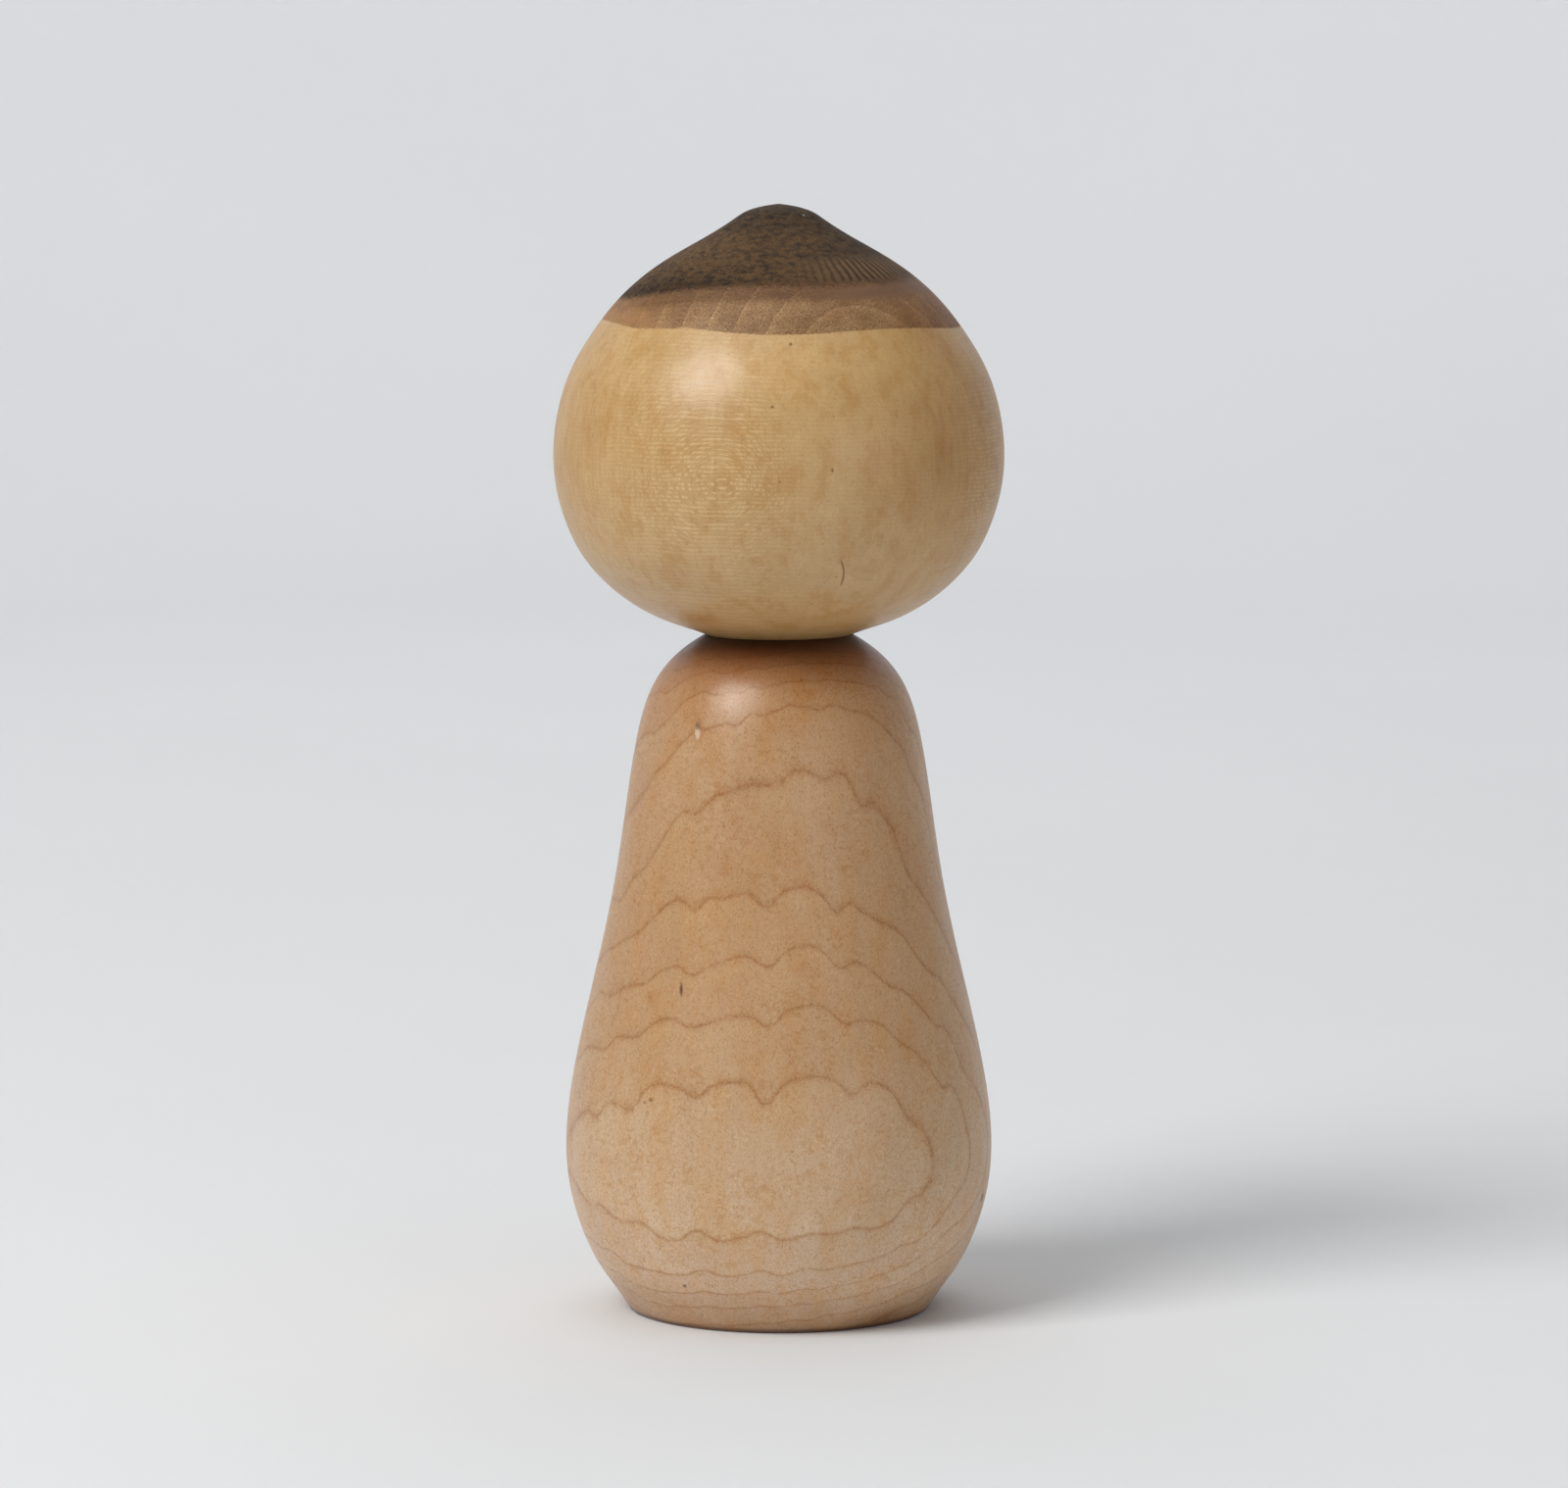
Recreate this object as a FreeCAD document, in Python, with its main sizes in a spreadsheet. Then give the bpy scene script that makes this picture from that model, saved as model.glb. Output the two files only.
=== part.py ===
import FreeCAD, Part
import os
import math
import Sketcher
import PartDesign

# Turned wooden kokeshi doll.  Units are millimetres, +Z is up, and the origin
# is the centre of the ring that the doll stands on.
#
#   body         pear-shaped turned body, drilled from the top for the neck
#   head         onion-shaped turned head with a pointed crown, drilled below
#   neck_dowel   round peg, glued into the head, that turns in the body's bore
#
# The head rests on the flat seat at the top of the body and swivels on the
# dowel about the vertical axis.

os.makedirs("parts", exist_ok=True)
doc = FreeCAD.newDocument("KokeshiDoll")

# ---------------------------------------------------------------- dimensions
sheet = doc.addObject("Spreadsheet::Sheet", "Sizes")
row_number = [1]


def size(alias, value, note):
    row = row_number[0]
    sheet.set("A%d" % row, note)
    sheet.set("B%d" % row, "%g" % value)
    sheet.setAlias("B%d" % row, alias)
    row_number[0] = row + 1


size("seat_height", 111.7, "height of the seat between body and head")
size("seat_radius", 12.0, "radius of the seat between body and head")
size("crown_height", 182.0, "overall height, at the tip of the crown")
size("base_radius", 24.75, "radius of the foot before its edge is eased")
size("base_edge_round", 0.7, "easing of the foot's edge")
size("seat_edge_round", 0.5, "easing of the two seat edges")
size("foot_recess_radius", 19.0, "radius of the shallow turned hollow under the foot")
size("foot_recess_depth", 0.9, "depth of that hollow at its centre")
size("foot_recess_lip", 0.35, "depth of that hollow at its rim")
size("dowel_radius", 6.0, "radius of the neck dowel")
size("dowel_low", 91.7, "height of the dowel's lower end")
size("dowel_length", 40.0, "length of the dowel")
size("dowel_chamfer", 1.0, "chamfer on both ends of the dowel")
size("bore_diameter", 12.1, "running bore in the body")
size("bore_depth", 21.5, "depth of that bore's wall below the seat")
size("socket_diameter", 12.0, "glued socket in the head")
size("socket_depth", 20.5, "depth of that socket's wall above the seat")
size("bore_lead_in", 0.8, "countersink at both mouths")

# Poles of the two turned outlines, as radius and height, from the bottom up.
# The first and last pole are the outline's own ends.
BODY_POLES = [
    (24.75, 0.0), (27.53, 4.43), (30.27, 6.98), (35.18, 19.24),
    (35.48, 32.15), (32.10, 48.71), (27.12, 68.63), (24.83, 86.29),
    (22.89, 98.23), (19.94, 105.72), (15.45, 109.76), (12.0, 111.7)]
HEAD_POLES = [
    (12.0, 111.7), (14.16, 112.61), (19.25, 113.89), (26.67, 118.23),
    (32.52, 124.45), (35.06, 130.33), (36.71, 135.84), (37.20, 143.65),
    (35.11, 153.70), (30.60, 161.18), (25.59, 167.61), (18.96, 172.84),
    (11.55, 176.73), (6.92, 179.72), (4.71, 181.47), (0.0, 182.0)]

for prefix, poles in (("body", BODY_POLES), ("head", HEAD_POLES)):
    for index, (radius, height) in enumerate(poles[1:-1], start=1):
        size("%s_pole_%02d_radius" % (prefix, index), radius,
             "%s outline, pole %d, radius" % (prefix, index))
        size("%s_pole_%02d_height" % (prefix, index), height,
             "%s outline, pole %d, height" % (prefix, index))
doc.recompute()


# ------------------------------------------------------------------- helpers
def origin_plane(body, role):
    for feature in body.Origin.OriginFeatures:
        if feature.Role == role:
            return feature
    raise RuntimeError("no %s in %s" % (role, body.Label))


def new_body(label):
    body = doc.addObject("PartDesign::Body", label)
    body.Label = label
    body.Placement = FreeCAD.Placement(
        FreeCAD.Vector(0, 0, 0), FreeCAD.Rotation(0, 0, 0, 1))
    return body


def new_sketch(body, name, role="XZ_Plane"):
    sketch = body.newObject("Sketcher::SketchObject", name)
    sketch.AttachmentSupport = [(origin_plane(body, role), "")]
    sketch.MapMode = "FlatFace"
    return sketch


def bind(sketch, kind, name, args, value, expression):
    """Adds one named dimension and ties it to a cell of the sheet."""
    index = sketch.addConstraint(Sketcher.Constraint(kind, *(args + (value,))))
    sketch.renameConstraint(index, name)
    sketch.setExpression("Constraints." + name, expression)
    return index


def line(sketch, start, end):
    return sketch.addGeometry(Part.LineSegment(
        FreeCAD.Vector(start[0], start[1], 0),
        FreeCAD.Vector(end[0], end[1], 0)), False)


def outline(sketch, prefix, poles, ends):
    """Cubic B-spline through one outline; every pole is dimensioned.

    ends gives, for the first and the last pole, the cells that hold its
    radius and height.  A pole with no radius cell lies on the turning axis.
    """
    curve = Part.BSplineCurve()
    curve.buildFromPolesMultsKnots(
        [FreeCAD.Vector(r, z, 0) for r, z in poles],
        [4] + [1] * (len(poles) - 4) + [4],
        [float(k) for k in range(len(poles) - 2)], False, 3)
    spline = sketch.addGeometry(curve, False)
    sketch.exposeInternalGeometry(spline)
    first = spline + 1
    for index, (radius, height) in enumerate(poles):
        circle = first + index
        if index == 0:
            cells = ends[0]
        elif index == len(poles) - 1:
            cells = ends[1]
        else:
            cells = ("%s_pole_%02d_radius" % (prefix, index),
                     "%s_pole_%02d_height" % (prefix, index))
        if cells[0] is None:
            sketch.addConstraint(
                Sketcher.Constraint("PointOnObject", circle, 3, -2))
        else:
            bind(sketch, "DistanceX", "pole_%02d_x" % index,
                 (-1, 1, circle, 3), radius, "Sizes." + cells[0])
        if cells[1] is None:
            sketch.addConstraint(
                Sketcher.Constraint("PointOnObject", circle, 3, -1))
        else:
            bind(sketch, "DistanceY", "pole_%02d_y" % index,
                 (-1, 1, circle, 3), height, "Sizes." + cells[1])
    return spline


def revolve(body, name, sketch, kind="PartDesign::Revolution"):
    feature = body.newObject(kind, name)
    feature.Profile = sketch
    feature.ReferenceAxis = (sketch, ["V_Axis"])
    feature.Angle = 360.0
    sketch.Visibility = False
    doc.recompute()
    return feature


def circle_edges(shape, radius, height, tolerance=1e-3):
    """Names of the shape's full circles of this radius about the axis."""
    names = []
    for index, edge in enumerate(shape.Edges, start=1):
        if edge.Degenerated or not isinstance(edge.Curve, Part.Circle):
            continue
        curve = edge.Curve
        centre = curve.Center
        if (abs(curve.Radius - radius) < tolerance
                and abs(centre.z - height) < tolerance
                and math.hypot(centre.x, centre.y) < tolerance):
            names.append("Edge%d" % index)
    return names


def ease(body, name, base, edges, cell, kind="PartDesign::Fillet"):
    if not edges:
        raise RuntimeError("no edge for " + name)
    feature = body.newObject(kind, name)
    feature.Base = (base, edges)
    if kind == "PartDesign::Fillet":
        feature.setExpression("Radius", "Sizes." + cell)
    else:
        feature.setExpression("Size", "Sizes." + cell)
    doc.recompute()
    return feature


def must_shrink(before, feature, least):
    """A cut that points away from the solid removes nothing; this stops it."""
    removed = before - feature.Shape.Volume
    if removed < least:
        raise RuntimeError("%s removed only %.3f mm3" % (feature.Label, removed))
    return feature.Shape.Volume


def drill(body, name, base, diameter_cell, depth_cell, lead_cell, downward):
    """Blind drilled hole from the seat, with a drill point and a lead-in."""
    sketch = new_sketch(body, name + "_sketch")
    sign = -1.0 if downward else 1.0
    seat = sheet.get("seat_height")
    radius = sheet.get(diameter_cell) / 2.0
    depth = sheet.get(depth_cell)
    lead = sheet.get(lead_cell)
    point = radius * math.tan(math.radians(31.0))
    corners = [
        (0.0, seat), (radius + lead, seat), (radius, seat + sign * lead),
        (radius, seat + sign * depth), (0.0, seat + sign * (depth + point))]
    sides = [line(sketch, corners[i], corners[(i + 1) % 5]) for i in range(5)]
    for i in range(5):
        sketch.addConstraint(Sketcher.Constraint(
            "Coincident", sides[i], 2, sides[(i + 1) % 5], 1))
    mouth, countersink, wall, tip, axis = sides
    sketch.addConstraint(Sketcher.Constraint("PointOnObject", mouth, 1, -2))
    sketch.addConstraint(Sketcher.Constraint("PointOnObject", tip, 2, -2))
    sketch.addConstraint(Sketcher.Constraint("Horizontal", mouth))
    sketch.addConstraint(Sketcher.Constraint("Vertical", wall))
    bind(sketch, "DistanceY", "seat", (-1, 1, mouth, 1), seat,
         "Sizes.seat_height")
    bind(sketch, "DistanceX", "wall_radius", (-1, 1, wall, 1), radius,
         "Sizes.%s / 2" % diameter_cell)
    bind(sketch, "DistanceX", "lead_in_width", (wall, 1, mouth, 2), lead,
         "Sizes." + lead_cell)
    if downward:
        bind(sketch, "DistanceY", "lead_in_depth", (wall, 1, mouth, 2), lead,
             "Sizes." + lead_cell)
        bind(sketch, "DistanceY", "wall_depth", (wall, 2, mouth, 2), depth,
             "Sizes." + depth_cell)
        bind(sketch, "DistanceY", "drill_point", (tip, 2, wall, 2), point,
             "Sizes.%s / 2 * tan(31 deg)" % diameter_cell)
    else:
        bind(sketch, "DistanceY", "lead_in_depth", (mouth, 2, wall, 1), lead,
             "Sizes." + lead_cell)
        bind(sketch, "DistanceY", "wall_depth", (mouth, 2, wall, 2), depth,
             "Sizes." + depth_cell)
        bind(sketch, "DistanceY", "drill_point", (wall, 2, tip, 2), point,
             "Sizes.%s / 2 * tan(31 deg)" % diameter_cell)
    doc.recompute()
    before = base.Shape.Volume
    groove = revolve(body, name, sketch, "PartDesign::Groove")
    must_shrink(before, groove, 0.8 * math.pi * radius ** 2 * depth)
    return groove


# ---------------------------------------------------------------------- body
# A pear: widest about a sixth of the way up, drawn in to a narrow shoulder
# that rolls over to the flat seat under the head.
body = new_body("body")
sketch = new_sketch(body, "body_outline")
spline = outline(sketch, "body", BODY_POLES,
                 (("base_radius", None), ("seat_radius", "seat_height")))
foot = line(sketch, (0, 0), (24.75, 0))
seat = line(sketch, (0, 111.7), (12.0, 111.7))
axis = line(sketch, (0, 0), (0, 111.7))
sketch.addConstraint(Sketcher.Constraint("Coincident", foot, 1, -1, 1))
sketch.addConstraint(Sketcher.Constraint("Coincident", foot, 2, spline, 1))
sketch.addConstraint(Sketcher.Constraint("Coincident", seat, 2, spline, 2))
sketch.addConstraint(Sketcher.Constraint("Coincident", axis, 1, foot, 1))
sketch.addConstraint(Sketcher.Constraint("Coincident", axis, 2, seat, 1))
sketch.addConstraint(Sketcher.Constraint("PointOnObject", seat, 1, -2))
sketch.addConstraint(Sketcher.Constraint("Horizontal", seat))
doc.recompute()
body_turned = revolve(body, "body_turned", sketch)

# The foot is turned very slightly hollow, so that the doll stands on a ring.
sketch = new_sketch(body, "foot_hollow_outline")
recess_r = sheet.get("foot_recess_radius")
recess_d = sheet.get("foot_recess_depth")
recess_l = sheet.get("foot_recess_lip")
corners = [(0.0, 0.0), (recess_r, 0.0), (recess_r, recess_l), (0.0, recess_d)]
sides = [line(sketch, corners[i], corners[(i + 1) % 4]) for i in range(4)]
for i in range(4):
    sketch.addConstraint(Sketcher.Constraint(
        "Coincident", sides[i], 2, sides[(i + 1) % 4], 1))
sketch.addConstraint(Sketcher.Constraint("Coincident", sides[0], 1, -1, 1))
sketch.addConstraint(Sketcher.Constraint("Horizontal", sides[0]))
sketch.addConstraint(Sketcher.Constraint("Vertical", sides[1]))
sketch.addConstraint(Sketcher.Constraint("Vertical", sides[3]))
bind(sketch, "DistanceX", "hollow_radius", (-1, 1, sides[0], 2), recess_r,
     "Sizes.foot_recess_radius")
bind(sketch, "DistanceY", "hollow_lip", (-1, 1, sides[1], 2), recess_l,
     "Sizes.foot_recess_lip")
bind(sketch, "DistanceY", "hollow_depth", (-1, 1, sides[2], 2), recess_d,
     "Sizes.foot_recess_depth")
doc.recompute()
foot_hollow = revolve(body, "foot_hollow", sketch, "PartDesign::Groove")
must_shrink(body_turned.Shape.Volume, foot_hollow, 300.0)

neck_bore = drill(body, "neck_bore", foot_hollow, "bore_diameter",
                  "bore_depth", "bore_lead_in", True)
foot_edge = ease(body, "foot_edge", neck_bore, circle_edges(
    neck_bore.Shape, sheet.get("base_radius"), 0.0), "base_edge_round")
body_seat_edge = ease(body, "body_seat_edge", foot_edge, circle_edges(
    foot_edge.Shape, sheet.get("seat_radius"), sheet.get("seat_height")),
    "seat_edge_round")
body.Tip = body_seat_edge

# ---------------------------------------------------------------------- head
# An onion or chestnut shape: a broad rounded cheek below the middle, shallow
# cone sides above it, a small button at the tip and a low flat point on that.
head = new_body("head")
sketch = new_sketch(head, "head_outline")
spline = outline(sketch, "head", HEAD_POLES,
                 (("seat_radius", "seat_height"), (None, "crown_height")))
seat = line(sketch, (0, 111.7), (12.0, 111.7))
axis = line(sketch, (0, 111.7), (0, 182.0))
sketch.addConstraint(Sketcher.Constraint("Coincident", seat, 2, spline, 1))
sketch.addConstraint(Sketcher.Constraint("Coincident", axis, 1, seat, 1))
sketch.addConstraint(Sketcher.Constraint("Coincident", axis, 2, spline, 2))
sketch.addConstraint(Sketcher.Constraint("PointOnObject", seat, 1, -2))
sketch.addConstraint(Sketcher.Constraint("Horizontal", seat))
doc.recompute()
head_turned = revolve(head, "head_turned", sketch)
dowel_socket = drill(head, "dowel_socket", head_turned, "socket_diameter",
                     "socket_depth", "bore_lead_in", False)
head_seat_edge = ease(head, "head_seat_edge", dowel_socket, circle_edges(
    dowel_socket.Shape, sheet.get("seat_radius"), sheet.get("seat_height")),
    "seat_edge_round")
head.Tip = head_seat_edge

# ---------------------------------------------------------------- neck dowel
# Half of it is glued in the head's socket; the other half turns in the bore.
dowel = new_body("neck_dowel")
sketch = new_sketch(dowel, "dowel_section", "XY_Plane")
ring = sketch.addGeometry(Part.Circle(
    FreeCAD.Vector(0, 0, 0), FreeCAD.Vector(0, 0, 1), 6.0), False)
sketch.addConstraint(Sketcher.Constraint("Coincident", ring, 3, -1, 1))
bind(sketch, "Radius", "dowel_radius", (ring,), 6.0, "Sizes.dowel_radius")
sketch.setExpression("AttachmentOffset.Base.z", "Sizes.dowel_low")
doc.recompute()
dowel_rod = dowel.newObject("PartDesign::Pad", "dowel_rod")
dowel_rod.Profile = sketch
dowel_rod.setExpression("Length", "Sizes.dowel_length")
sketch.Visibility = False
doc.recompute()
low = sheet.get("dowel_low")
ends = (circle_edges(dowel_rod.Shape, sheet.get("dowel_radius"), low)
        + circle_edges(dowel_rod.Shape, sheet.get("dowel_radius"),
                       low + sheet.get("dowel_length")))
dowel_ends = ease(dowel, "dowel_ends", dowel_rod, ends, "dowel_chamfer",
                  "PartDesign::Chamfer")
dowel.Tip = dowel_ends
doc.recompute()

# -------------------------------------------------------------------- checks
for item in doc.Objects:
    if "Invalid" in item.State or "Error" in item.State:
        raise RuntimeError("%s: %s" % (item.Label, item.State))

# The solved outlines still run through the stated poles.
for name, poles in (("body_outline", BODY_POLES), ("head_outline", HEAD_POLES)):
    for geometry in doc.getObject(name).Geometry:
        if isinstance(geometry, Part.BSplineCurve):
            for pole, (radius, height) in zip(geometry.getPoles(), poles):
                if math.hypot(pole.x - radius, pole.y - height) > 1e-3:
                    raise RuntimeError("%s moved a pole" % name)

pieces = [body, head, dowel]
for piece in pieces:
    shape = piece.Shape
    if shape.isNull() or not shape.isValid() or len(shape.Solids) != 1:
        raise RuntimeError("bad solid: " + piece.Label)
    box = shape.BoundBox
    print("%-11s %9.1f mm3  x %.2f..%.2f  y %.2f..%.2f  z %.2f..%.2f" % (
        piece.Label, shape.Volume, box.XMin, box.XMax, box.YMin, box.YMax,
        box.ZMin, box.ZMax))
for first in range(3):
    for second in range(first + 1, 3):
        common = pieces[first].Shape.common(pieces[second].Shape)
        print("overlap of %s and %s: %.5f mm3" % (
            pieces[first].Label, pieces[second].Label, common.Volume))

for piece in pieces:
    piece.Shape.exportStep("parts/%s.step" % piece.Label)
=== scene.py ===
import math

import bpy
import numpy as np
from mathutils import Matrix, Vector


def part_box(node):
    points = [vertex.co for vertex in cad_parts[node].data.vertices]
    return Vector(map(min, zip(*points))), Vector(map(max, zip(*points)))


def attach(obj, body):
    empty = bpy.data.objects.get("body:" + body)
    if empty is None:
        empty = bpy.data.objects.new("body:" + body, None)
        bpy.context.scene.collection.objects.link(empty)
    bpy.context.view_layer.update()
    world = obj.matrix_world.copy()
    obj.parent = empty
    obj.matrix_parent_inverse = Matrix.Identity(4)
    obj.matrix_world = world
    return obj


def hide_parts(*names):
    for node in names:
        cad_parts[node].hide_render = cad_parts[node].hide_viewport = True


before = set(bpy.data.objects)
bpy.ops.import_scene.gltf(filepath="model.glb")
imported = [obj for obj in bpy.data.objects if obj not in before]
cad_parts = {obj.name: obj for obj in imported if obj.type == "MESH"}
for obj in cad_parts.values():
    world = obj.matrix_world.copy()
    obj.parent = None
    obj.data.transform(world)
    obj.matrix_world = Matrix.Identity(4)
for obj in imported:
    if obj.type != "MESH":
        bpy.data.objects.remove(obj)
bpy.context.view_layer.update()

MM = 0.001

# Turned wooden doll: maple body, head of a second, yellower wood with a
# stained crown, and the neck dowel that joins them.  Lengths in the tables
# are millimetres in the row frame; seats and overall heights come from the
# CAD boxes.

BODY_LOW, BODY_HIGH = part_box("body")
HEAD_LOW, HEAD_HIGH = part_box("head")
DOWEL_LOW, DOWEL_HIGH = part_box("neck_dowel")
SEAT = BODY_HIGH.z / MM
CROWN = HEAD_HIGH.z / MM
DOWEL_Z = (DOWEL_LOW.z / MM, DOWEL_HIGH.z / MM)
DOWEL_R = (DOWEL_HIGH.x - DOWEL_LOW.x) / 2 / MM

# ------------------------------------------------------------ turned outlines
BODY_POLES = [
    (24.75, 0.0), (27.53, 4.43), (30.27, 6.98), (35.18, 19.24),
    (35.48, 32.15), (32.10, 48.71), (27.12, 68.63), (24.83, 86.29),
    (22.89, 98.23), (19.94, 105.72), (15.45, 109.76), (12.0, 111.7)]
HEAD_POLES = [
    (12.0, 111.7), (14.16, 112.61), (19.25, 113.89), (26.67, 118.23),
    (32.52, 124.45), (35.06, 130.33), (36.71, 135.84), (37.20, 143.65),
    (35.11, 153.70), (30.60, 161.18), (25.59, 167.61), (18.96, 172.84),
    (11.55, 176.73), (6.92, 179.72), (4.71, 181.47), (0.0, 182.0)]


def spline(poles, count):
    """Points of the clamped uniform cubic B-spline with these poles, spaced
    evenly along its length."""
    poles = np.array(poles, float)
    spans = len(poles) - 3
    knots = np.concatenate([[0.0] * 3, np.arange(spans + 1.0), [spans] * 3])
    t = np.linspace(0, spans, 4001)
    t[-1] -= 1e-9
    weights = np.zeros((len(t), len(knots) - 1))
    for i in range(len(knots) - 1):
        weights[:, i] = (knots[i] <= t) & (t < knots[i + 1])
    for degree in range(1, 4):
        new = np.zeros((len(t), len(knots) - 1 - degree))
        for i in range(len(knots) - 1 - degree):
            left = knots[i + degree] - knots[i]
            right = knots[i + degree + 1] - knots[i + 1]
            if left > 0:
                new[:, i] += (t - knots[i]) / left * weights[:, i]
            if right > 0:
                new[:, i] += (knots[i + degree + 1] - t) / right * weights[:, i + 1]
        weights = new
    curve = weights @ poles
    run = np.concatenate([[0], np.cumsum(np.hypot(*np.diff(curve, axis=0).T))])
    even = np.linspace(0, run[-1], count)
    return np.stack([np.interp(even, run, curve[:, i]) for i in (0, 1)], 1)


def arc(corner, before, after, radius, count=6):
    """A small rounding of one corner of an outline."""
    corner, before, after = (np.array(p, float) for p in (corner, before, after))
    u = (before - corner) / np.hypot(*(before - corner))
    v = (after - corner) / np.hypot(*(after - corner))
    half = math.acos(float(np.clip(u @ v, -1, 1))) / 2
    reach = radius / math.tan(half)
    t = np.linspace(0, 1, count)[:, None]
    return ((1 - t) ** 2 * (corner + u * reach) + 2 * t * (1 - t) * corner
            + t ** 2 * (corner + v * reach)), reach


def trim(curve, reach_start, reach_end):
    run = np.concatenate([[0], np.cumsum(np.hypot(*np.diff(curve, axis=0).T))])
    return curve[(run > reach_start * 1.2) & (run < run[-1] - reach_end * 1.2)]


def line(a, b, count, ends=True):
    t = np.linspace(0, 1, count)[:, None]
    out = np.array(a, float) * (1 - t) + np.array(b, float) * t
    return out if ends else out[1:-1]


def lathe(name, sections, segments):
    """Closed turned solid.  sections is a list of outlines from the axis
    below, round the outside, to the axis above or inside."""
    outline = [np.array(sections[0][0], float)]
    for section in sections:
        for point in section:
            if np.hypot(*(point - outline[-1])) > 1e-4:
                outline.append(np.array(point, float))
    outline = np.array(outline)
    turn = np.arange(segments) * 2 * math.pi / segments
    # azimuth 0 is the front, -Y, and grows towards +X
    ring = np.stack([np.sin(turn), -np.cos(turn)], 1)
    verts = [(0.0, 0.0, outline[0, 1])]
    for radius, height in outline[1:-1]:
        verts.extend((radius * s, radius * c, height) for s, c in ring)
    verts.append((0.0, 0.0, outline[-1, 1]))
    rows = len(outline) - 2
    faces = []
    n = segments
    for j in range(n):
        faces.append((0, 1 + (j + 1) % n, 1 + j))
    for i in range(rows - 1):
        a = 1 + i * n
        b = a + n
        for j in range(n):
            k = (j + 1) % n
            faces.append((a + j, a + k, b + k, b + j))
    last = 1 + (rows - 1) * n
    top = len(verts) - 1
    for j in range(n):
        faces.append((last + j, last + (j + 1) % n, top))
    mesh = bpy.data.meshes.new(name)
    mesh.from_pydata([(x * MM, y * MM, z * MM) for x, y, z in verts], [], faces)
    mesh.update()
    obj = bpy.data.objects.new(name, mesh)
    bpy.context.scene.collection.objects.link(obj)
    return obj, outline


def places(obj):
    co = np.zeros(len(obj.data.vertices) * 3)
    obj.data.vertices.foreach_get("co", co)
    return co.reshape(-1, 3) / MM


def store(obj, name, values):
    layer = obj.data.attributes.new(name, "FLOAT", "POINT")
    layer.data.foreach_set("value", np.asarray(values, np.float32))


def smooth(obj, angle):
    """Smooth shading, with the edges sharper than angle kept crisp."""
    mesh = obj.data
    mesh.polygons.foreach_set("use_smooth", [True] * len(mesh.polygons))
    mesh.update()
    normals = np.zeros(len(mesh.polygons) * 3)
    mesh.polygons.foreach_get("normal", normals)
    normals = normals.reshape(-1, 3)
    seen = {}
    sharp = np.zeros(len(mesh.edges), bool)
    loops = np.zeros(len(mesh.loops), int)
    mesh.loops.foreach_get("edge_index", loops)
    start = np.zeros(len(mesh.polygons), int)
    total = np.zeros(len(mesh.polygons), int)
    mesh.polygons.foreach_get("loop_start", start)
    mesh.polygons.foreach_get("loop_total", total)
    owner = np.repeat(np.arange(len(total)), total)
    order = np.argsort(loops, kind="stable")
    edges, faces = loops[order], owner[order]
    same = edges[:-1] == edges[1:]
    cos = (normals[faces[:-1]] * normals[faces[1:]]).sum(1)
    sharp[edges[:-1][same & (cos < math.cos(math.radians(angle)))]] = True
    layer = mesh.attributes.get("sharp_edge") or mesh.attributes.new(
        "sharp_edge", "BOOLEAN", "EDGE")
    layer.data.foreach_set("value", sharp)
    mesh.update()


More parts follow.
